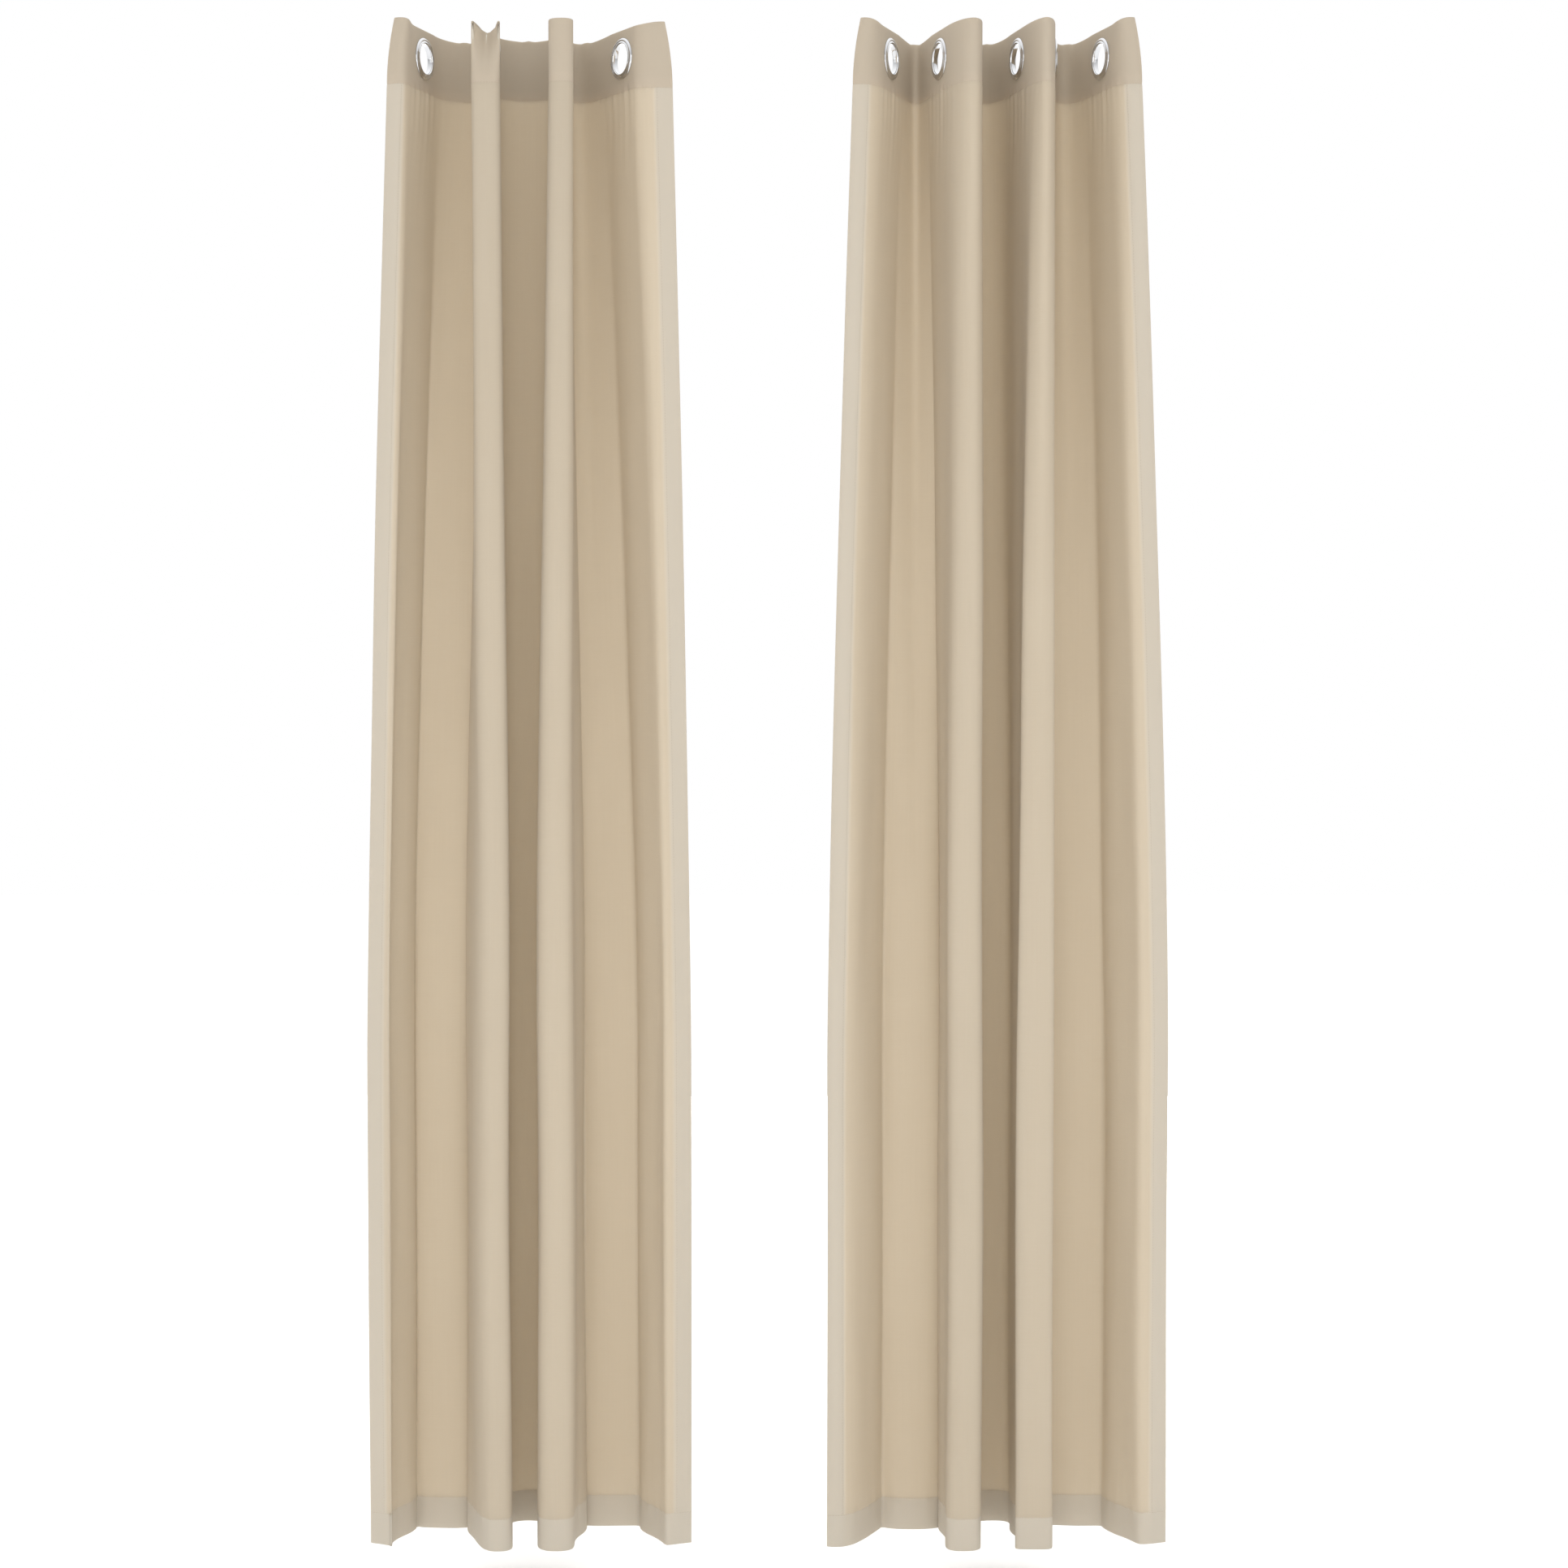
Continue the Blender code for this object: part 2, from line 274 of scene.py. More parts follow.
class Drape:
    """The surface that one hanging panel follows, without its fine creases."""

    RUN_POINTS = 64
    HALVINGS = 40
    LONGEST_HANDLE = 4.0
    PROBE = 0.001

    def __init__(self, layout: Layout, cut: Cut) -> None:
        """Work out the header's and the skirt's outlines from above.

        Args:
            layout: How the panel hangs.
            cut: The sewn panel's sizes.
        """
        self.layout = layout
        self.cut = cut
        self.header = self._join(self._header_knots())
        self.skirt = self._join([
            (index * cut.pleat / 2, station.place, station.heading)
            for index, station in enumerate(layout.skirt)
        ])

    def _header_knots(self) -> list[tuple[float, FlatArray, float]]:
        """The header's edges, with a flat stretch through each eyelet between them."""
        first, last = self.layout.header_edges
        knots = [(0.0, first.place, first.heading)]
        for index, eyelet in enumerate(self.layout.eyelets):
            for side in (-self.cut.flat_half, self.cut.flat_half):
                place = eyelet.place + side * eyelet.forward
                knots.append((self.cut.eyelet_width(index) + side, place, eyelet.heading))
            nose = self.layout.header_noses.get(index + 1)
            if nose:
                knots.append(((index + 1) * self.cut.pleat, nose.place, nose.heading))
        knots.append((self.cut.width, last.place, last.heading))
        return knots

    @classmethod
    def _run(cls, start: FlatArray, leave: float, end: FlatArray, arrive: float,
             cloth: float) -> FlatArray:
        """Points of the smooth curve between two places that takes up some cloth.

        Args:
            start: Where the curve starts.
            leave: Its heading there, in degrees.
            end: Where it ends.
            arrive: Its heading there, in degrees.
            cloth: The length of cloth to use up.

        Returns:
            The curve's points.
        """
        t = np.linspace(0, 1, cls.RUN_POINTS)[:, None]
        out, back = Station(0, 0, leave).forward, Station(0, 0, arrive).forward
        short, long = 0.0, cls.LONGEST_HANDLE * cloth
        for _ in range(cls.HALVINGS):
            handle = (short + long) / 2
            points = (
                (1 - t) ** 3 * start
                + 3 * (1 - t) ** 2 * t * (start + handle * out)
                + 3 * (1 - t) * t ** 2 * (end - handle * back)
                + t ** 3 * end
            )
            if np.linalg.norm(np.diff(points, axis=0), axis=1).sum() < cloth:
                short = handle
            else:
                long = handle
        return points

    @classmethod
    def _join(cls, knots: Sequence[tuple[float, FlatArray, float]]
              ) -> tuple[FlatArray, FlatArray]:
        """Widths across the cloth and the places there, through all the knots."""
        widths, places = [], []
        for (w0, p0, h0), (w1, p1, h1) in zip(knots, knots[1:]):
            points = cls._run(p0, h0, p1, h1, w1 - w0)
            steps = np.linalg.norm(np.diff(points, axis=0), axis=1)
            along = np.concatenate([[0.0], np.cumsum(steps)])
            widths.append(w0 + along / along[-1] * (w1 - w0))
            places.append(points)
        return np.concatenate(widths), np.concatenate(places)

    def settled(self, height: FlatArray) -> FlatArray:
        """How far the folds have settled: 0 in the header, 1 well below it."""
        below = (self.cut.header_seam - height) / self.cut.settling_drop
        return 1 - (1 - np.clip(below, 0.0, 1.0)) ** self.cut.settling_power

    def middle(self, width: FlatArray, height: FlatArray) -> FlatArray:
        """The cloth's place, seen from above, at widths and heights."""
        share = self.settled(height)[..., None]
        outlines = [
            np.stack([np.interp(width, widths, points[:, axis]) for axis in (0, 1)], -1)
            for widths, points in (self.header, self.skirt)
        ]
        return (1 - share) * outlines[0] + share * outlines[1]

    def behind(self, width: FlatArray, height: FlatArray) -> FlatArray:
        """The unit vector, seen from above, from the cloth's face to its back."""
        ahead = self.middle(np.minimum(width + self.PROBE, self.cut.width), height)
        along = ahead - self.middle(np.maximum(width - self.PROBE, 0.0), height)
        along /= np.linalg.norm(along, axis=-1, keepdims=True)
        return np.stack([-along[..., 1], along[..., 0]], -1)


class Creases:
    """The small shapes that sewing and hanging press into a panel, as formulas."""

    SEED = 84

    # The dented nose: half its width across, how far down it fades, how far in it goes
    # and how far its edge sags.
    DENT_HALF = 0.027
    DENT_ROUND = 0.003
    DENT_FADE = 0.095
    DENT_DEPTH = 0.042
    DENT_SAG = 0.011

    # The header's two top corners lean in and rise, over this drop.
    CORNER_DROP = 0.09
    CORNER_LEAN = 0.011
    CORNER_RISE = 0.005

    # The top edge sags between the eyelets behind the rod, with a small pinch there.
    SAG_HALF = 0.058
    SAG_DROP = 0.045
    SAG_DEPTH = 0.0045
    PINCH_HALF = 0.005
    PINCH_DROP = 0.012
    PINCH_OUT = 0.0026
    PINCH_RISE = 0.0016

    def __init__(self, drape: Drape) -> None:
        """Draw the soft swells' phases.

        Args:
            drape: The surface that the creases lie on.
        """
        self.drape = drape
        self.cut = drape.cut
        dice = np.random.default_rng(self.SEED + len(drape.layout.side.value))
        self.swells = [
            (0.150 / (1 + i), 1.1 / (1 + 0.7 * i), 1.6 * MM / (1 + i) ** 2,
             *dice.uniform(0, math.tau, 2))
            for i in range(4)
        ]

    def _near_eyelets(self, width: FlatArray, spread: float) -> FlatArray:
        """1 at each eyelet, falling away on both sides of it."""
        return sum(
            hill(width, self.cut.eyelet_width(i), spread) for i in range(self.cut.eyelets)
        )

    def relief(self, width: FlatArray, height: FlatArray) -> FlatArray:
        """How far the cloth stands out towards its face, in metres."""
        cut = self.cut
        below_seam = cut.header_seam - height
        hanging = smooth_step(below_seam, -0.012, 0.004) * np.exp(
            -np.maximum(below_seam, 0) / 0.060
        )
        puckers = 1.1 * MM * self._near_eyelets(width, 0.042) * hanging * (
            np.sin(math.tau * width / 0.0155 + 2.2 * np.sin(height / 0.045))
            + 0.5 * np.sin(math.tau * width / 0.0245 + 1.0)
        )
        seam = 0.35 * MM * np.exp(-np.abs(below_seam) / 0.007) * np.sin(
            math.tau * width / 0.0135 + np.sin(width / 0.03)
        )
        seam_dip = -0.45 * MM * hill(below_seam, 0.0, 0.0016)
        from_hem = height - cut.hem_seam
        hem = 0.55 * MM * np.exp(-np.abs(from_hem) / 0.012) * np.sin(
            math.tau * width / 0.0205 + 1.7 * np.sin(width / 0.041)
        )
        hem_dip = -0.45 * MM * hill(from_hem, 0.0, 0.0016)
        loose = self.drape.settled(height)
        swell = sum(
            tall * np.sin(math.tau * width / across + a)
            * np.sin(math.tau * height / down + b)
            for across, down, tall, a, b in self.swells
        )
        return puckers + seam + seam_dip + hem + hem_dip + swell * loose

    def shift(self, width: FlatArray, height: FlatArray) -> FlatArray:
        """How far creases move the cloth as (x, y, z): pinched noses and corners."""
        cut, layout = self.cut, self.drape.layout
        moved = np.zeros(width.shape + (3,))
        below_top = cut.top_edge - height
        for nose in layout.pinched_noses:
            away = np.hypot(width - nose * cut.pleat, self.DENT_ROUND) - self.DENT_ROUND
            fold = np.clip(1 - away / self.DENT_HALF, 0.0, 1.0) ** 1.2
            dent = fold * (1 - np.clip(below_top / self.DENT_FADE, 0.0, 1.0)) ** 1.4
            moved[..., 1] += self.DENT_DEPTH * dent
            moved[..., 2] -= self.DENT_SAG * dent
        leaning = (1 - np.clip(below_top / self.CORNER_DROP, 0, 1)) ** 2
        for edge, inward in ((0.0, 1.0), (cut.width, -1.0)):
            near = 1 - smooth_step(np.abs(width - edge), 0.0, cut.pleat / 2 - cut.flat_half)
            moved[..., 0] += inward * self.CORNER_LEAN * leaning * near
            moved[..., 2] += self.CORNER_RISE * leaning * near
        for nose in range(1, cut.eyelets, 2):
            away = np.abs(width - nose * cut.pleat)
            sag = (
                np.clip(1 - away / self.SAG_HALF, 0.0, 1.0)
                * np.exp(-below_top / self.SAG_DROP)
            )
            moved[..., 2] -= self.SAG_DEPTH * sag
            top_pinch = hill(away, 0.0, self.PINCH_HALF) * np.exp(-below_top / self.PINCH_DROP)
            moved[..., 1] -= self.PINCH_OUT * top_pinch
            moved[..., 2] += self.PINCH_RISE * top_pinch
        return moved


# --------------------------------------------------------------------------- mesh helpers


def new_piece(name: str, points: FlatArray, faces: Sequence[Sequence[int]]) -> bpy.types.Object:
    """A smooth mesh object at the origin.

    Args:
        name: The piece's name.
        points: Its vertices.
        faces: Its faces, as vertex numbers.

    Returns:
        The linked object.
    """
    mesh = bpy.data.meshes.new(name)
    mesh.from_pydata([tuple(p) for p in points], [], [tuple(f) for f in faces])
    mesh.validate()
    mesh.shade_smooth()
    piece = bpy.data.objects.new(name, mesh)
    bpy.context.scene.collection.objects.link(piece)
    return piece


def set_attribute(mesh: bpy.types.Mesh, name: str, values: FlatArray) -> None:
    """Store one number for each vertex."""
    attribute = mesh.attributes.get(name) or mesh.attributes.new(name, "FLOAT", "POINT")
    attribute.data.foreach_set("value", np.asarray(values, np.float32).ravel())


def get_attribute(mesh: bpy.types.Mesh, name: str) -> FlatArray:
    """Read one number for each vertex."""
    values = np.zeros(len(mesh.vertices), np.float32)
    mesh.attributes[name].data.foreach_get("value", values)
    return values


def made_mesh(piece: bpy.types.Object) -> bpy.types.Object:
    """Turn an object's modifiers into a plain mesh.

    Args:
        piece: The object with modifiers.

    Returns:
        The same object, with the evaluated mesh and no modifier.
    """
    graph = bpy.context.evaluated_depsgraph_get()
    mesh = bpy.data.meshes.new_from_object(piece.evaluated_get(graph), depsgraph=graph)
    piece.modifiers.clear()
    piece.data = mesh
    return piece


def turned(name: str, profile: Sequence[tuple[float, float]], segments: int,
           to_world: Matrix) -> bpy.types.Object:
    """A ring turned from a closed profile about its own +Z.

    Args:
        name: The piece's name.
        profile: (radius, height) points, running down the outer side.
        segments: How many steps there are in the turn.
        to_world: Where the ring goes.

    Returns:
        The ring, with its place in its mesh.
    """
    count = len(profile)
    angles = np.arange(segments) / segments * math.tau
    points = [
        to_world @ Vector((radius * math.cos(a), radius * math.sin(a), height))
        for a in angles for radius, height in profile
    ]
    faces = [
        (i * count + j, i * count + (j + 1) % count,
         (i + 1) % segments * count + (j + 1) % count, (i + 1) % segments * count + j)
        for i in range(segments) for j in range(count)
    ]
    return new_piece(name, points, faces)


def rounded(points: Sequence[tuple[float, float]], rounds: int = 2) -> list[tuple[float, float]]:
    """A closed profile with its corners cut, and cut again, until they are round."""
    outline = [np.array(p) for p in points]
    for _ in range(rounds):
        outline = [
            0.75 * a + 0.25 * b if first else 0.25 * a + 0.75 * b
            for a, b in zip(outline, outline[1:] + outline[:1])
            for first in (True, False)
        ]
    return [tuple(p) for p in outline]


# --------------------------------------------------------------------------- finishes


def linear(hex_colour: str) -> tuple[float, float, float, float]:
    """An sRGB hex colour as linear red, green, blue and alpha."""
    channels = [int(hex_colour[i:i + 2], 16) / 255 for i in (1, 3, 5)]
    red, green, blue = (
        c / 12.92 if c <= 0.04045 else ((c + 0.055) / 1.055) ** 2.4 for c in channels
    )
    return red, green, blue, 1.0


def add_node(tree: bpy.types.NodeTree, kind: str, inputs: dict[Any, Any] | None = None,
             **settings: Any) -> bpy.types.Node:
    """Add a node, set it up and link it.

    Args:
        tree: The tree that gets the node.
        kind: The node's type.
        inputs: A value, or an output socket to link, for each input by name or number.
        settings: The node's own properties.

    Returns:
        The new node.
    """
    node = tree.nodes.new(kind)
    for key, value in settings.items():
        setattr(node, key, value)
    for key, value in (inputs or {}).items():
        if isinstance(value, bpy.types.NodeSocket):
            tree.links.new(value, node.inputs[key])
        else:
            node.inputs[key].default_value = value
    return node


def mix_colours(tree: bpy.types.NodeTree, share: Any, first: Any, second: Any
                ) -> bpy.types.NodeSocket:
    """A mix of two colours by a share, each of them a value or a socket."""
    node = tree.nodes.new("ShaderNodeMix")
    node.data_type = "RGBA"
    for index, value in ((0, share), (6, first), (7, second)):
        if isinstance(value, bpy.types.NodeSocket):
            tree.links.new(value, node.inputs[index])
        else:
            node.inputs[index].default_value = value
    return node.outputs[2]


def new_finish(name: str) -> tuple[bpy.types.Material, bpy.types.NodeTree, bpy.types.Node]:
    """A material with an empty tree but for its output.

    Args:
        name: The finish's name.

    Returns:
        The material, its tree and its output node.
    """
    material = bpy.data.materials.new(name)
    material.use_nodes = True
    tree = material.node_tree
    tree.nodes.clear()
    return material, tree, tree.nodes.new("ShaderNodeOutputMaterial")


@dataclass(frozen=True)
class WovenPolyester:
    """Plain-woven spun polyester: matt, with thick and thin weft yarns across it."""

    single: str = "#D6CBB8"
    shade: str = "#D1C5B1"
    # The colour over the header, fullest on its seam allowance, is partly the layered cloth's own tone and
    # partly painted shade for the light from behind that the doubled header and its buckram hold back.
    backed_and_painted_shade: str = "#D8CBB8"
    doubled: str = "#DFD7C8"
    lit_through: str = "#E5DAC7"
    roughness: float = 0.88
    sheen: float = 0.10
    see_through: float = 0.36
    # The real yarns are 0.4 mm apart; they are drawn twice as coarse, to show.
    yarn_spacing: float = 0.8 * MM
    slub_length: float = 45 * MM
    slub_height: float = 1.7 * MM

    def build(self) -> bpy.types.Material:
        """Make the cloth's material, which reads the flat cloth's own coordinates."""
        material, tree, output = new_finish("plain_woven_spun_polyester")
        flat = add_node(tree, "ShaderNodeUVMap", uv_map="flat").outputs["UV"]
        layers_and_shade = add_node(tree, "ShaderNodeAttribute", attribute_name="layers_and_painted_shade")
        yarns = math.tau / self.yarn_spacing / 20
        slub = self._streaks(tree, flat, self.slub_length, self.slub_height)
        warp = self._streaks(tree, flat, 2.4 * MM, 160 * MM)
        cloudy = add_node(tree, "ShaderNodeTexNoise", {
            "Vector": flat, "Scale": 1 / 0.16, "Detail": 3.0, "Roughness": 0.5,
        }).outputs["Fac"]
        weft = add_node(tree, "ShaderNodeTexWave", {
            "Vector": flat, "Scale": yarns, "Distortion": 0.6, "Detail Scale": 40.0,
        }, bands_direction="Y").outputs["Fac"]
        ends = add_node(tree, "ShaderNodeTexWave", {
            "Vector": flat, "Scale": yarns, "Distortion": 0.6, "Detail Scale": 40.0,
        }, bands_direction="X").outputs["Fac"]
        tone = add_node(tree, "ShaderNodeMath", {
            0: slub, 1: warp,
        }, operation="ADD").outputs[0]
        tone = add_node(tree, "ShaderNodeMath", {0: tone, 1: cloudy}, operation="ADD").outputs[0]
        tone = add_node(tree, "ShaderNodeMapRange", {
            "Value": tone, "From Min": 0.9, "From Max": 2.1, "To Min": 0.0, "To Max": 1.0,
        }).outputs["Result"]
        colour = mix_colours(tree, tone, linear(self.shade), linear(self.single))
        # Painted shade over the header and its seam allowance, for light from behind that the doubled header
        # holds back, mixed with the layered cloth's own tone.
        colour = mix_colours(tree, layers_and_shade.outputs["Fac"], colour, linear(self.backed_and_painted_shade))
        hemmed = add_node(tree, "ShaderNodeAttribute", attribute_name="hemmed")
        colour = mix_colours(tree, hemmed.outputs["Fac"], colour, linear(self.doubled))
        weave = add_node(tree, "ShaderNodeMath", {0: weft, 1: ends}, operation="MULTIPLY")
        height = add_node(tree, "ShaderNodeMath", {
            0: slub, 1: 1.6, 2: weave.outputs[0],
        }, operation="MULTIPLY_ADD").outputs[0]
        bump = add_node(tree, "ShaderNodeBump", {
            "Height": height, "Strength": 0.18, "Distance": 0.2 * MM,
        })
        shader = add_node(tree, "ShaderNodeBsdfPrincipled", {
            "Base Color": colour, "Roughness": self.roughness, "IOR": 1.45,
            "Sheen Weight": self.sheen, "Sheen Roughness": 0.5,
            "Normal": bump.outputs["Normal"],
        })
        glow = add_node(tree, "ShaderNodeBsdfTranslucent", {
            "Color": linear(self.lit_through), "Normal": bump.outputs["Normal"],
        })
        through = add_node(tree, "ShaderNodeMixShader", {
            0: self.see_through, 1: shader.outputs["BSDF"], 2: glow.outputs["BSDF"],
        })
        tree.links.new(through.outputs["Shader"], output.inputs["Surface"])
        return material

    @staticmethod
    def _streaks(tree: bpy.types.NodeTree, flat: bpy.types.NodeSocket, across: float,
                 down: float) -> bpy.types.NodeSocket:
        """Noise drawn out to streaks of a real size across and down the cloth."""
        scaled = add_node(tree, "ShaderNodeMapping", {
            "Vector": flat, "Scale": (1 / across, 1 / down, 1.0),
        })
        return add_node(tree, "ShaderNodeTexNoise", {
            "Vector": scaled.outputs["Vector"], "Scale": 1.0, "Detail": 2.0,
            "Roughness": 0.55,
        }).outputs["Fac"]


@dataclass(frozen=True)
class ChromePlate:
    """Bright nickel-chrome on a moulded ring: a mirror with faint handling marks."""

    colour: str = "#DADBDD"
    roughness: float = 0.07
    mark_size: float = 3 * MM

    def build(self) -> bpy.types.Material:
        """Make the plating's material."""
        material, tree, output = new_finish("chrome_plated_moulding")
        where = add_node(tree, "ShaderNodeTexCoord").outputs["Object"]
        marks = add_node(tree, "ShaderNodeTexNoise", {
            "Vector": where, "Scale": 1 / self.mark_size, "Detail": 4.0,
        }).outputs["Fac"]
        dull = add_node(tree, "ShaderNodeMapRange", {
            "Value": marks, "From Min": 0.4, "From Max": 0.8,
            "To Min": self.roughness, "To Max": 2.2 * self.roughness,
        }).outputs["Result"]
        ripple = add_node(tree, "ShaderNodeBump", {
            "Height": marks, "Strength": 0.08, "Distance": 0.1 * MM,
        })
        shader = add_node(tree, "ShaderNodeBsdfPrincipled", {
            "Base Color": linear(self.colour), "Metallic": 1.0, "Roughness": dull,
            "Normal": ripple.outputs["Normal"],
        })
        tree.links.new(shader.outputs["BSDF"], output.inputs["Surface"])
        return material


@dataclass(frozen=True)
class SewingThread:
    """Spun polyester sewing thread: two plies twisted, with a slight sheen."""

    colour: str = "#C9BBA4"
    roughness: float = 0.6
    twist: float = 0.7 * MM

    def build(self) -> bpy.types.Material:
        """Make the thread's material."""
        material, tree, output = new_finish("spun_sewing_thread")
        where = add_node(tree, "ShaderNodeTexCoord").outputs["Object"]
        plies = add_node(tree, "ShaderNodeTexWave", {
            "Vector": where, "Scale": math.tau / self.twist / 20,
        }, bands_direction="DIAGONAL").outputs["Fac"]
        bump = add_node(tree, "ShaderNodeBump", {
            "Height": plies, "Strength": 0.5, "Distance": 0.05 * MM,
        })
        shader = add_node(tree, "ShaderNodeBsdfPrincipled", {
            "Base Color": linear(self.colour), "Roughness": self.roughness,
            "Sheen Weight": 0.2, "Normal": bump.outputs["Normal"],
        })
        tree.links.new(shader.outputs["BSDF"], output.inputs["Surface"])
        return material


@dataclass(frozen=True)
class Buckram:
    """Pressed non-woven buckram: stiff, off-white and faintly fibrous."""

    light: str = "#E9E5DB"
    dark: str = "#DCD6C8"
    fibre: float = 4 * MM

    def build(self) -> bpy.types.Material:
        """Make the stiffener's material."""
        material, tree, output = new_finish("pressed_buckram")
        where = add_node(tree, "ShaderNodeTexCoord").outputs["Object"]
        fibres = add_node(tree, "ShaderNodeTexNoise", {
            "Vector": where, "Scale": 1 / self.fibre, "Detail": 6.0,
        }).outputs["Fac"]
        colour = mix_colours(tree, fibres, linear(self.dark), linear(self.light))
        bump = add_node(tree, "ShaderNodeBump", {
            "Height": fibres, "Strength": 0.3, "Distance": 0.1 * MM,
        })
        shader = add_node(tree, "ShaderNodeBsdfPrincipled", {
            "Base Color": colour, "Roughness": 0.9, "Normal": bump.outputs["Normal"],
        })
        tree.links.new(shader.outputs["BSDF"], output.inputs["Surface"])
        return material


@dataclass(frozen=True)
class StudioPaper:
    """Matt white background paper, with a faint tooth."""

    light: str = "#FFFFFF"
    dark: str = "#FAFAFA"

    def build(self) -> bpy.types.Material:
        """Make the floor's material."""
        material, tree, output = new_finish("white_background_paper")
        where = add_node(tree, "ShaderNodeTexCoord").outputs["Object"]
        tooth = add_node(tree, "ShaderNodeTexNoise", {"Vector": where, "Scale": 60.0})
        colour = mix_colours(
            tree, tooth.outputs["Fac"], linear(self.dark), linear(self.light))
        shader = add_node(tree, "ShaderNodeBsdfPrincipled", {
            "Base Color": colour, "Roughness": 0.95,
        })
        tree.links.new(shader.outputs["BSDF"], output.inputs["Surface"])
        return material


# --------------------------------------------------------------------------- panels


@dataclass(frozen=True)
class Row:
    """One row of the cloth's grid: its height, how far round its turn it is, its layer."""

    height: float
    turned: float
    behind: bool


def steps(start: float, end: float, step: float) -> list[float]:
    """Even places from start up to, but without, end, no further apart than step."""
    count = max(1, math.ceil(abs(end - start) / step))
    return [start + (end - start) * i / count for i in range(count)]


class ClothPanel:
    """One sewn panel: its cloth, its buckram and its stitching."""

    COLUMN_STEP = 4.6 * MM
    BUCKRAM_STEP = 6 * MM
    BUCKRAM_INSET = 4 * MM
    BUCKRAM_THICKNESS = 0.5 * MM

    def __init__(self, layout: Layout, cut: Cut) -> None:
        """Set up the panel's surface.

        Args:
            layout: How the panel hangs.
            cut: Its sizes.
        """
        self.layout = layout
        self.cut = cut
        self.drape = Drape(layout, cut)
        self.creases = Creases(self.drape)

    def surface(self, width: FlatArray, height: FlatArray, depth: FlatArray) -> FlatArray:
        """Points of the cloth at widths, heights and depths behind its face."""
        behind = self.drape.behind(width, height)
        back = (depth - self.creases.relief(width, height))[..., None]
        xy = self.drape.middle(width, height) + back * behind
        return np.concatenate([xy, height[..., None]], -1) + self.creases.shift(width, height)

    def share(self, width: FlatArray) -> FlatArray:
        """How much of the leading eyelet's travel the cloth takes at each width."""
        cut, shares = self.cut, self.layout.draw_shares
        result = np.full(width.shape, shares[0])
        for index in range(cut.eyelets - 1):
            low = cut.eyelet_width(index) + cut.flat_half
            high = cut.eyelet_width(index + 1) - cut.flat_half
            change = shares[index + 1] - shares[index]
            result = result + change * smooth_step(width, low, high)
        return result

    def _columns(self) -> tuple[FlatArray, FlatArray, FlatArray]:
        """Widths, depths and flat places of the columns, side hems turned in."""
        cut = self.cut
        hem = steps(cut.side_hem, 0.0012, self.COLUMN_STEP) + [0.0012, 0.0004]
        step, half = cut.side_step, cut.side_step / 2
        inner = steps(0.0012, cut.width - 0.0012, self.COLUMN_STEP) + [cut.width - 0.0012]
        widths = hem + [0.0, 0.0004] + inner
        depths = [step] * (len(hem) - 1) + [0.85 * step, half, 0.15 * step]
        depths += [0.0] * len(inner)
        flats = [-w for w in hem] + [0.0, 0.0004] + inner
        far = [0.0004, 0.0] + hem[::-1]
        widths += [cut.width - w for w in far]
        depths += [0.15 * step, half, 0.85 * step] + [step] * (len(hem) - 1)
        flats += [cut.width - 0.0004, cut.width] + [cut.width + w for w in hem[::-1]]
        return np.array(widths), np.array(depths), np.array(flats)

    def _rows(self) -> list[Row]:
        """The rows down the cloth: header turn, top, face, hem, hem turn."""
        cut = self.cut
        top, seam, hem, bottom = (
            cut.top_edge, cut.header_seam, cut.hem_seam, cut.bottom_edge)
        rows = [Row(z, 1.0, True) for z in steps(seam - 2 * MM, top - 1.5 * MM, 7 * MM)]
        rows += [Row(top - 1.5 * MM, 1.0, True), Row(top - 0.5 * MM, 0.9, True),
                 Row(top, 0.5, False), Row(top - 0.5 * MM, 0.1, False)]
        face = steps(top - 1.5 * MM, seam + 2 * MM, 4.2 * MM)
        face += [seam + 2 * MM, seam + 1 * MM, seam, seam - 1 * MM]
        face += steps(seam - 2 * MM, seam - 62 * MM, 5 * MM)
        face += steps(seam - 62 * MM, seam - 200 * MM, 10 * MM)
        face += steps(seam - 200 * MM, hem + 40 * MM, 21 * MM)
        face += steps(hem + 40 * MM, hem + 2 * MM, 6 * MM)
        face += [hem + 2 * MM, hem + 1 * MM, hem, hem - 1 * MM]
        face += steps(hem - 2 * MM, bottom + 1.5 * MM, 6 * MM)
        rows += [Row(z, 0.0, False) for z in face]
        rows += [Row(bottom + 1.5 * MM, 0.0, False), Row(bottom + 0.5 * MM, 0.1, False),
                 Row(bottom, 0.5, False), Row(bottom + 0.5 * MM, 0.9, True)]
        rows += [Row(z, 1.0, True) for z in steps(bottom + 1.5 * MM, hem + 2 * MM, 6 * MM)]
        rows += [Row(hem + 2 * MM, 1.0, True)]
        return rows

    def _layers_and_painted_shade(self, width: FlatArray, height: FlatArray) -> FlatArray:
        """How much cloth lies at a place, from 0 for one layer to 1 for the most; it also sets painted shade
        for the light from behind that the doubled header holds back, strongest on its seam allowance.
        """
        cut = self.cut
        header = (height > cut.header_seam - 0.5 * MM) * 0.6
        # The seam allowance gets the fullest share, as a band of painted shade.
        allowance = (header > 0) * (height < cut.header_seam + cut.seam_allowance) * 0.4
        return header + allowance

    def _hemmed(self, width: FlatArray, height: FlatArray) -> FlatArray:
        """1 where the cloth is doubled by a hem, and 0 elsewhere."""
        cut = self.cut
        from_side = np.minimum(width, cut.width - width)
        below_header = height < cut.header_seam - 0.5 * MM
        side = (from_side < cut.side_hem) & below_header
        return np.maximum(side, height < cut.hem_seam + 0.5 * MM).astype(float)

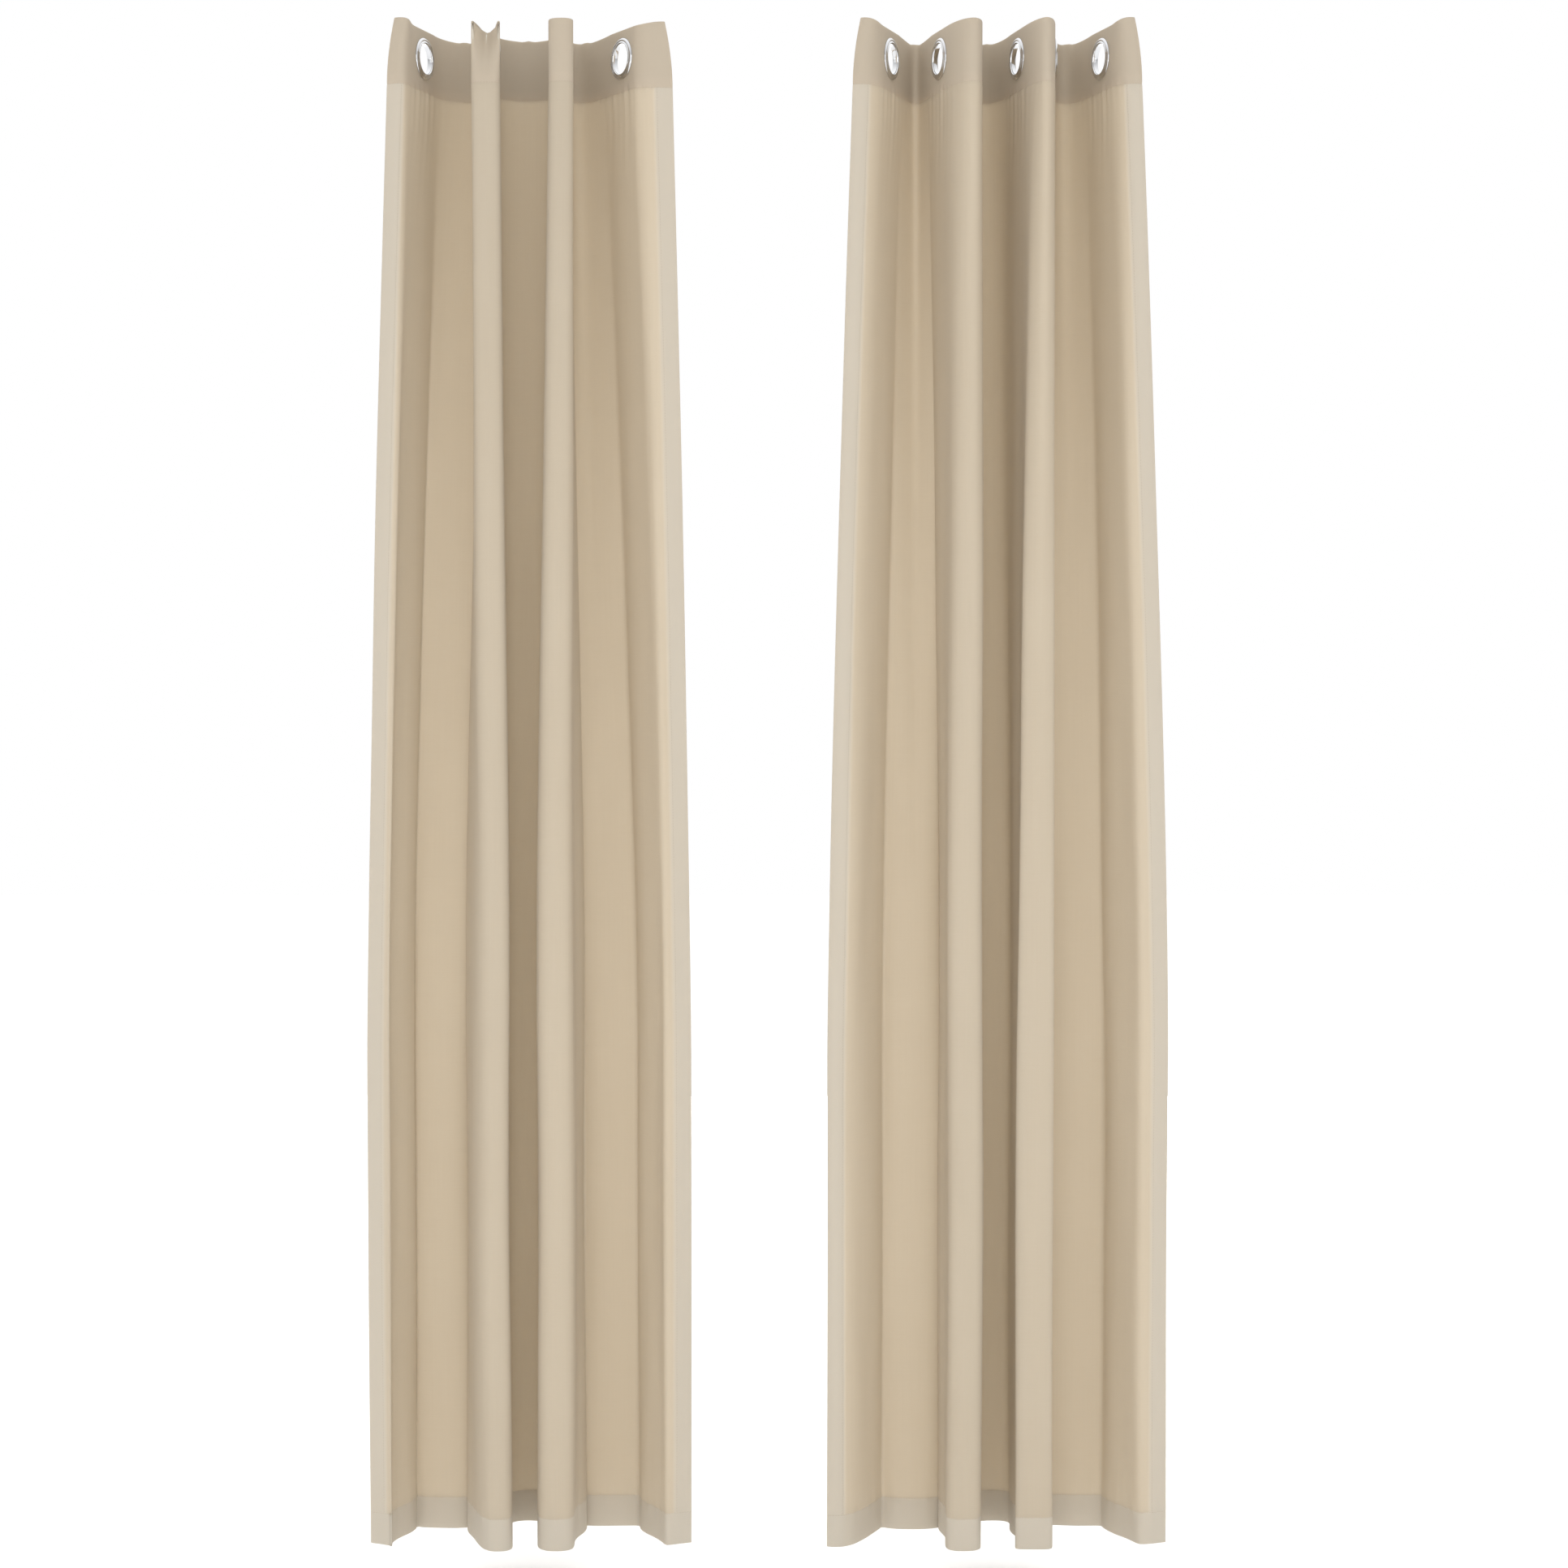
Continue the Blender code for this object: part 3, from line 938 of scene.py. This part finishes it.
    def cloth(self, finish: bpy.types.Material) -> bpy.types.Object:
        """The panel's single piece of cloth, turned, hemmed and cut for its eyelets.

        Args:
            finish: The cloth's material.

        Returns:
            The cloth.
        """
        cut = self.cut
        column_widths, side_depths, flat_across = self._columns()
        rows = self._rows()
        shape = (len(rows), len(column_widths))
        width = np.broadcast_to(column_widths, shape).copy()
        height = np.repeat([row.height for row in rows], shape[1]).reshape(shape).copy()
        turned_round = np.repeat([row.turned for row in rows], shape[1]).reshape(shape)
        face_depth = np.broadcast_to(side_depths, shape)
        depth = (1 - turned_round) * face_depth + turned_round * (cut.turn_step - face_depth)
        keep = self._cut_holes(width, height)
        points = self.surface(width, height, depth)
        down = np.concatenate([[0.0], np.cumsum(np.abs(np.diff([r.height for r in rows])))])
        faces = self._grid_faces(shape)
        piece = new_piece(
            f"{self.layout.side.value}_curtain_panel", points.reshape(-1, 3), faces[keep])
        # This attribute carries painted shade as well as where the cloth lies doubled.
        set_attribute(piece.data, "layers_and_painted_shade", self._layers_and_painted_shade(width, height))
        set_attribute(piece.data, "hemmed", self._hemmed(width, height))
        set_attribute(piece.data, "draw_share", self.share(width))
        self._flat_map(piece, np.broadcast_to(flat_across, shape).ravel(), np.repeat(down, shape[1]))
        return self._thicken(piece, cut.thickness, finish)

    @staticmethod
    def _grid_faces(shape: tuple[int, int]) -> FlatArray:
        """The four corners of every face of a grid, by their numbers."""
        number = np.arange(shape[0] * shape[1]).reshape(shape)
        return np.stack(
            [number[:-1, :-1], number[:-1, 1:], number[1:, 1:], number[1:, :-1]], -1)

    @classmethod
    def _thicken(cls, piece: bpy.types.Object, thickness: float,
                 finish: bpy.types.Material) -> bpy.types.Object:
        """Give a sheet its thickness and its finish.

        Args:
            piece: The sheet, one face thick.
            thickness: How thick it gets, half to each side.
            finish: Its material.

        Returns:
            The sheet.
        """
        cls._drop_loose(piece)
        solid = piece.modifiers.new("thickness", "SOLIDIFY")
        solid.thickness = thickness
        solid.offset = 0.0
        made_mesh(piece)
        piece.data.materials.clear()
        piece.data.materials.append(finish)
        return piece

    @staticmethod
    def _drop_loose(piece: bpy.types.Object) -> None:
        """Remove the vertices that no face uses."""
        used = np.zeros(len(piece.data.vertices), bool)
        for face in piece.data.polygons:
            used[list(face.vertices)] = True
        work = bmesh.new()
        work.from_mesh(piece.data)
        work.verts.ensure_lookup_table()
        loose = [work.verts[i] for i in np.flatnonzero(~used)]
        bmesh.ops.delete(work, geom=loose, context="VERTS")
        work.to_mesh(piece.data)
        work.free()

    def _cut_holes(self, width: FlatArray, height: FlatArray) -> FlatArray:
        """Open the eyelet holes and draw their edges on to round circles.

        Args:
            width: The grid's widths, changed in place.
            height: The grid's heights, changed in place.

        Returns:
            True for each grid face that stays.
        """
        cut = self.cut
        mid_width = (width[:-1, :-1] + width[1:, 1:]) / 2
        mid_height = (height[:-1, :-1] + height[1:, 1:]) / 2
        keep = np.ones(mid_width.shape, bool)
        for index in range(cut.eyelets):
            centre = cut.eyelet_width(index)
            gone = np.hypot(mid_width - centre, mid_height) < cut.hole_radius
            keep &= ~gone
            beside = np.zeros(width.shape, bool)
            stays = np.zeros(width.shape, bool)
            for rows in (slice(None, -1), slice(1, None)):
                for columns in (slice(None, -1), slice(1, None)):
                    beside[rows, columns] |= gone
                    stays[rows, columns] |= ~gone
            rim = beside & stays
            away = np.hypot(width[rim] - centre, height[rim])
            width[rim] = centre + (width[rim] - centre) * cut.hole_radius / away
            height[rim] = height[rim] * cut.hole_radius / away
        return keep

    @staticmethod
    def _flat_map(piece: bpy.types.Object, across: FlatArray, down: FlatArray) -> None:
        """Give the cloth a UV map of the flat cloth's own metres."""
        corners = np.zeros(len(piece.data.loops), np.int32)
        piece.data.loops.foreach_get("vertex_index", corners)
        flat = np.stack([across[corners], down[corners]], -1)
        piece.data.uv_layers.new(name="flat").data.foreach_set(
            "uv", flat.astype(np.float32).ravel())

    def buckram(self, finish: bpy.types.Material) -> bpy.types.Object:
        """The strip of buckram inside the header.

        Args:
            finish: Its material.

        Returns:
            The strip.
        """
        cut, inset, step = self.cut, self.BUCKRAM_INSET, self.BUCKRAM_STEP
        widths = np.array(steps(inset, cut.width - inset, step) + [cut.width - inset])
        heights = np.array(
            steps(cut.top_edge - inset, cut.header_seam + inset, step)
            + [cut.header_seam + inset])
        width, height = (a.copy() for a in np.meshgrid(widths, heights))
        keep = self._cut_holes(width, height)
        behind = self.drape.behind(width, height)
        xy = self.drape.middle(width, height) + cut.turn_step / 2 * behind
        points = np.concatenate([xy, height[..., None]], -1)
        points += self.creases.shift(width, height)
        faces = self._grid_faces(width.shape)
        piece = new_piece(
            f"{self.layout.side.value}_header_buckram", points.reshape(-1, 3), faces[keep])
        set_attribute(piece.data, "draw_share", self.share(width))
        return self._thicken(piece, self.BUCKRAM_THICKNESS, finish)


@dataclass(frozen=True)
class StitchSizes:
    """A row of lockstitch in spun thread."""

    length: float = 3.0 * MM
    pitch: float = 3.9 * MM
    thread: float = 0.42 * MM
    sides: int = 6
    segments: int = 4


class Stitching:
    """Rows of stitches laid along a seam's path by one Geometry Nodes tree."""

    def __init__(self, sizes: StitchSizes, finish: bpy.types.Material) -> None:
        """Build the tree once.

        Args:
            sizes: The stitches' sizes.
            finish: The thread's material.
        """
        self.sizes = sizes
        self.tree = self._build_tree(finish)

    def _build_tree(self, finish: bpy.types.Material) -> bpy.types.NodeTree:
        """The tree: a stitch on each step of the path, turned along it."""
        tree = bpy.data.node_groups.new("lockstitch_row", "GeometryNodeTree")
        face = tree.interface
        face.new_socket("Seam path", in_out="INPUT", socket_type="NodeSocketGeometry")
        for name in ("Stitch pitch", "Stitch length", "Thread thickness"):
            face.new_socket(name, in_out="INPUT", socket_type="NodeSocketFloat")
        face.new_socket("Stitches", in_out="OUTPUT", socket_type="NodeSocketGeometry")
        given = add_node(tree, "NodeGroupInput").outputs
        curve = add_node(tree, "GeometryNodeMeshToCurve", {"Mesh": given["Seam path"]})
        even = add_node(tree, "GeometryNodeResampleCurve", {
            "Curve": curve.outputs["Curve"], "Length": given["Stitch pitch"],
        }, mode="LENGTH")
        radius = add_node(tree, "ShaderNodeMath", {
            0: given["Thread thickness"], 1: 0.5,
        }, operation="MULTIPLY").outputs[0]
        half = add_node(tree, "ShaderNodeMath", {
            0: given["Stitch length"], 1: 0.5,
        }, operation="MULTIPLY").outputs[0]
        ball = add_node(tree, "GeometryNodeMeshUVSphere", {
            "Segments": self.sizes.sides, "Rings": self.sizes.segments, "Radius": 1.0,
        })
        size = add_node(tree, "ShaderNodeCombineXYZ", {"X": radius, "Y": radius, "Z": half})
        stitch = add_node(tree, "GeometryNodeTransform", {
            "Geometry": ball.outputs["Mesh"], "Scale": size.outputs["Vector"],
        })
        along = add_node(tree, "GeometryNodeInputTangent").outputs["Tangent"]
        turn = add_node(tree, "FunctionNodeAlignRotationToVector", {"Vector": along}, axis="Z")
        rows = add_node(tree, "GeometryNodeInstanceOnPoints", {
            "Points": even.outputs["Curve"], "Instance": stitch.outputs["Geometry"],
            "Rotation": turn.outputs["Rotation"],
        })
        solid = add_node(tree, "GeometryNodeRealizeInstances", {
            "Geometry": rows.outputs["Instances"],
        })
        smooth = add_node(tree, "GeometryNodeSetShadeSmooth", {
            "Geometry": solid.outputs["Geometry"],
        })
        dressed = add_node(tree, "GeometryNodeSetMaterial", {
            "Geometry": smooth.outputs["Geometry"], "Material": finish,
        })
        add_node(tree, "NodeGroupOutput", {"Stitches": dressed.outputs["Geometry"]})
        return tree

    def sew(self, name: str, paths: Sequence[tuple[FlatArray, FlatArray]]
            ) -> bpy.types.Object:
        """Lay stitches along some paths.

        Args:
            name: The piece's name.
            paths: The points of each path and the cloth's share of the draw there.

        Returns:
            The stitches as a plain mesh.
        """
        points = np.concatenate([p for p, _ in paths])
        edges, start = [], 0
        for path, _ in paths:
            edges += [(start + i, start + i + 1) for i in range(len(path) - 1)]
            start += len(path)
        mesh = bpy.data.meshes.new(name)
        mesh.from_pydata([tuple(p) for p in points], edges, [])
        set_attribute(mesh, "draw_share", np.concatenate([s for _, s in paths]))
        piece = bpy.data.objects.new(name, mesh)
        bpy.context.scene.collection.objects.link(piece)
        nodes = piece.modifiers.new("stitches", "NODES")
        nodes.node_group = self.tree
        values = {
            "Stitch pitch": self.sizes.pitch, "Stitch length": self.sizes.length,
            "Thread thickness": self.sizes.thread,
        }
        for socket in self.tree.interface.items_tree:
            if socket.name in values:
                nodes[socket.identifier] = values[socket.name]
        return made_mesh(piece)


class PanelSeams:
    """Where a panel is sewn."""

    STITCH_GAP = 0.12 * MM

    def __init__(self, panel: ClothPanel) -> None:
        """Keep the panel.

        Args:
            panel: The panel that is sewn.
        """
        self.panel = panel
        self.cut = panel.cut

    def _path(self, width: FlatArray, height: FlatArray, depth: float
              ) -> tuple[FlatArray, FlatArray]:
        """A path on the cloth and the share of the draw along it."""
        points = self.panel.surface(width, height, np.full(width.shape, depth))
        return points, self.panel.share(width)

    def across(self, height: float, depths: Sequence[float]) -> list[tuple[FlatArray, FlatArray]]:
        """Seams across the whole panel at a height, one for each depth."""
        width = np.linspace(1.5 * MM, self.cut.width - 1.5 * MM, 500)
        return [self._path(width, np.full(width.shape, height), d) for d in depths]

    def down(self, inset: float, depths: Sequence[float]) -> list[tuple[FlatArray, FlatArray]]:
        """Seams down both side hems, one for each depth."""
        height = np.linspace(self.cut.header_seam - 3 * MM, self.cut.hem_seam + 3 * MM, 420)
        return [
            self._path(np.full(height.shape, width), height, depth)
            for width in (inset, self.cut.width - inset) for depth in depths
        ]

    def sew_all(self, stitching: Stitching) -> dict[str, bpy.types.Object]:
        """Sew the header, the hem and the side hems.

        Args:
            stitching: What lays the stitches.

        Returns:
            The stitches of each seam, by the seam's name.
        """
        cut, side = self.cut, self.panel.layout.side.value
        face = -cut.thickness / 2 - self.STITCH_GAP + 0.1 * MM
        back = cut.turn_step + cut.thickness / 2
        turned_side = cut.side_step + cut.thickness / 2
        return {
            "header": stitching.sew(
                f"{side}_header_stitching", self.across(cut.header_seam, (face, back))),
            "hem": stitching.sew(
                f"{side}_hem_stitching", self.across(cut.hem_seam, (face, back))),
            "side_hems": stitching.sew(
                f"{side}_side_hem_stitching",
                self.down(cut.side_hem - 3 * MM, (face, turned_side))),
        }


@dataclass(frozen=True)
class Eyelet:
    """One snap-together eyelet, by its front ring and its back ring."""

    bore: float = 0.0205
    barrel: float = 0.0218
    flange: float = 0.029
    back_flange: float = 0.0285
    segments: int = 96
    seat: float = 0.00045
    back_seat: float = -0.00345

    def front_profile(self) -> list[tuple[float, float]]:
        """The front ring: a domed flange, a groove, a rounded lip and the barrel."""
        s = self.seat
        return rounded([
            (self.bore + 0.0005, s + 0.0027), (self.bore + 0.0018, s + 0.0034),
            (self.bore + 0.0031, s + 0.0024), (self.bore + 0.0040, s + 0.0020),
            (self.bore + 0.0056, s + 0.0029), (self.flange - 0.0012, s + 0.0019),
            (self.flange, s + 0.0007), (self.flange - 0.0002, s),
            (self.barrel, s), (self.barrel, self.back_seat - 0.0014),
            (self.bore + 0.0006, self.back_seat - 0.0017),
            (self.bore, self.back_seat - 0.0006), (self.bore, s + 0.0012),
        ])

    def back_profile(self) -> list[tuple[float, float]]:
        """The back ring: a flatter flange around the barrel's end."""
        s, inner = self.back_seat, self.barrel + 0.0003
        return rounded([
            (self.back_flange, s), (self.back_flange, s - 0.0007),
            (self.back_flange - 0.0014, s - 0.0017), (self.back_flange - 0.0034, s - 0.0021),
            (inner + 0.0010, s - 0.0020), (inner, s - 0.0013), (inner, s),
        ])

    def place(self, station: Station) -> Matrix:
        """The turn and move that put a ring's +Z on the cloth's face side."""
        forward = station.forward
        turn = Vector((forward[1], -forward[0], 0)).to_track_quat("Z", "Y").to_matrix()
        return Matrix.Translation((station.x, station.y, 0)) @ turn.to_4x4()

    def make(self, side: Side, index: int, station: Station, finish: bpy.types.Material
             ) -> tuple[bpy.types.Object, bpy.types.Object]:
        """Both rings of one eyelet.

        Args:
            side: The panel that it is on.
            index: Its number, from 0.
            station: Its place and heading.
            finish: The plating.

        Returns:
            The front ring and the back ring.
        """
        place = self.place(station)
        name = f"{side.value}_eyelet_{index + 1}"
        front = turned(f"{name}_face_ring", self.front_profile(), self.segments, place)
        back = turned(f"{name}_rear_ring", self.back_profile(), self.segments, place)
        for ring in (front, back):
            ring.data.materials.append(finish)
        return front, back


# --------------------------------------------------------------------------- assembly


class CurtainPair:
    """Both panels, dressed, and tied to the frame's bodies."""

    ROOT = "parked_ends"

    def __init__(self) -> None:
        """Make the finishes and the shared stitch tree."""
        self.cut = Cut()
        self.cloth_finish = WovenPolyester().build()
        self.chrome = ChromePlate().build()
        self.buckram_finish = Buckram().build()
        self.stitching = Stitching(StitchSizes(), SewingThread().build())

    def follow(self, piece: bpy.types.Object, layout: Layout) -> None:
        """Let a piece that spans the panel follow its eyelets along the rod."""
        ends = [layout.eyelets[0], layout.eyelets[-1]]
        if layout.draw_shares[0] == 1.0:
            ends.reverse()
        parked, leading = ((e.x, e.y, 0.0) for e in ends)
        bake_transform(piece, self.ROOT, layout.leading_body, start=parked, end=leading)
        set_attribute(piece.data, "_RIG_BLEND", get_attribute(piece.data, "draw_share"))

    def build_panel(self, layout: Layout) -> None:
        """Make one panel with everything on it.

        Args:
            layout: How the panel hangs.
        """
        side = layout.side.value
        panel = ClothPanel(layout, self.cut)
        cloth = panel.cloth(self.cloth_finish)
        buckram = panel.buckram(self.buckram_finish)
        seams = PanelSeams(panel).sew_all(self.stitching)
        rings = self.build_eyelets(layout)
        for piece in (cloth, buckram, *seams.values()):
            self.follow(piece, layout)
        numbers = range(1, self.cut.eyelets + 1)
        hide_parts(*(f"{side}_pleat_{n}" for n in numbers))
        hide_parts(*(f"{side}_header_stiffener_{n}" for n in numbers))
        LOG.info("%s panel: %d vertices", side, len(cloth.data.vertices))

    def build_eyelets(self, layout: Layout) -> list[bpy.types.Object]:
        """Make a panel's eyelets, each on its own body.

        Args:
            layout: How the panel hangs.

        Returns:
            The front rings.
        """
        fronts = []
        for index, station in enumerate(layout.eyelets):
            front, back = Eyelet().make(layout.side, index, station, self.chrome)
            name = f"{layout.side.value}_eyelet_{index + 1}"
            for ring, node, slot in (
                (front, f"{name}_front_ring", Slot.FRONT_RING),
                (back, f"{name}_back_ring", Slot.BACK_RING),
            ):
                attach(ring, layout.body(index))
                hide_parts(node)
                LOG.info("%s rides on %s", ring.name, layout.body(index))
            fronts.append(front)
        return fronts


@dataclass(frozen=True)
class Studio:
    """A white studio: paper floor, soft light from both sides and the viewing camera."""

    camera_place: tuple[float, float, float] = (0.030, -4.0, -0.849)
    pitch_down: float = 2.4
    focal_length: float = 64.9
    sensor: float = 36.0
    floor_drop: float = 0.060
    floor_size: float = 24.0
    light_in_front: float = 0.50
    light_behind: float = 1.00
    light_above: float = 0.55

    def build(self) -> None:
        """Set up the floor, the light and the camera."""
        self._floor()
        self._world()
        self._lights()
        self._camera()
        view = bpy.context.scene.view_settings
        view.view_transform = "Standard"
        view.look = "None"

    def _floor(self) -> None:
        """The paper floor, just below the hems."""
        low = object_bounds()[0][2] - self.floor_drop
        half = self.floor_size / 2
        corners = [(-half, -half, low), (half, -half, low), (half, half, low), (-half, half, low)]
        floor = new_piece("studio_floor", np.array(corners), [(0, 1, 2, 3)])
        floor.data.materials.append(StudioPaper().build())
        floor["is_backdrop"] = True

    def _world(self) -> None:
        """White all round for the camera, and a soft gradient for the light."""
        world = bpy.data.worlds.new("white_studio")
        bpy.context.scene.world = world
        world.use_nodes = True
        tree = world.node_tree
        tree.nodes.clear()
        output = tree.nodes.new("ShaderNodeOutputWorld")
        seen = add_node(tree, "ShaderNodeBackground", {"Color": (1, 1, 1, 1), "Strength": 1.0})
        facing = add_node(tree, "ShaderNodeSeparateXYZ", {
            "Vector": add_node(tree, "ShaderNodeTexCoord").outputs["Generated"],
        })
        along = add_node(tree, "ShaderNodeMapRange", {
            "Value": facing.outputs["Y"], "From Min": -1.0, "From Max": 1.0,
            "To Min": self.light_in_front, "To Max": self.light_behind,
        })
        overhead = add_node(tree, "ShaderNodeMapRange", {
            "Value": facing.outputs["Z"], "From Min": 0.0, "From Max": 1.0,
            "To Min": 0.0, "To Max": self.light_above,
        })
        strength = add_node(tree, "ShaderNodeMath", {
            0: along.outputs["Result"], 1: overhead.outputs["Result"],
        }, operation="ADD")
        lit = add_node(tree, "ShaderNodeBackground", {
            "Color": (1, 1, 1, 1), "Strength": strength.outputs["Value"],
        })
        ray = add_node(tree, "ShaderNodeLightPath").outputs["Is Camera Ray"]
        both = add_node(tree, "ShaderNodeMixShader", {
            0: ray, 1: lit.outputs[0], 2: seen.outputs[0],
        })
        tree.links.new(both.outputs[0], output.inputs["Surface"])

    @staticmethod
    def _lights() -> None:
        """Three broad soft boxes in the room, and one behind that shines through the cloth."""
        for name, place, size, power in (
            ("middle_soft_box", (0.0, -4.6, -0.4), 3.0, 48.0),
            ("left_soft_box", (-2.2, -3.6, -0.1), 2.4, 9.0),
            ("right_soft_box", (2.2, -3.6, -0.1), 2.4, 9.0),
            ("window_soft_box", (0.0, 4.5, -0.8), 3.0, 90.0),
        ):
            data = bpy.data.lights.new(name, "AREA")
            data.shape = "SQUARE"
            data.size = size
            data.energy = power
            light = bpy.data.objects.new(name, data)
            light.location = place
            aim = Vector((0, 0, -0.9)) - Vector(place)
            light.rotation_euler = aim.to_track_quat("-Z", "Y").to_euler()
            light.visible_camera = False
            bpy.context.scene.collection.objects.link(light)

    def _camera(self) -> None:
        """The viewing camera."""
        data = bpy.data.cameras.new("viewing_camera")
        data.lens = self.focal_length
        data.sensor_width = self.sensor
        camera = bpy.data.objects.new("viewing_camera", data)
        camera.location = self.camera_place
        camera.rotation_euler = (math.radians(90 - self.pitch_down), 0, 0)
        bpy.context.scene.collection.objects.link(camera)
        bpy.context.scene.camera = camera


def corners(box: Sequence[Any]) -> list[list[float]]:
    """A box as plain lists."""
    return [[float(value) for value in corner] for corner in box]


def main() -> None:
    """Build the scene."""
    logging.basicConfig(level=logging.INFO, format="%(message)s")
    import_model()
    Studio().build()
    pair = CurtainPair()
    for layout in (LEFT, RIGHT):
        pair.build_panel(layout)


if __name__ == "__main__":
    main()
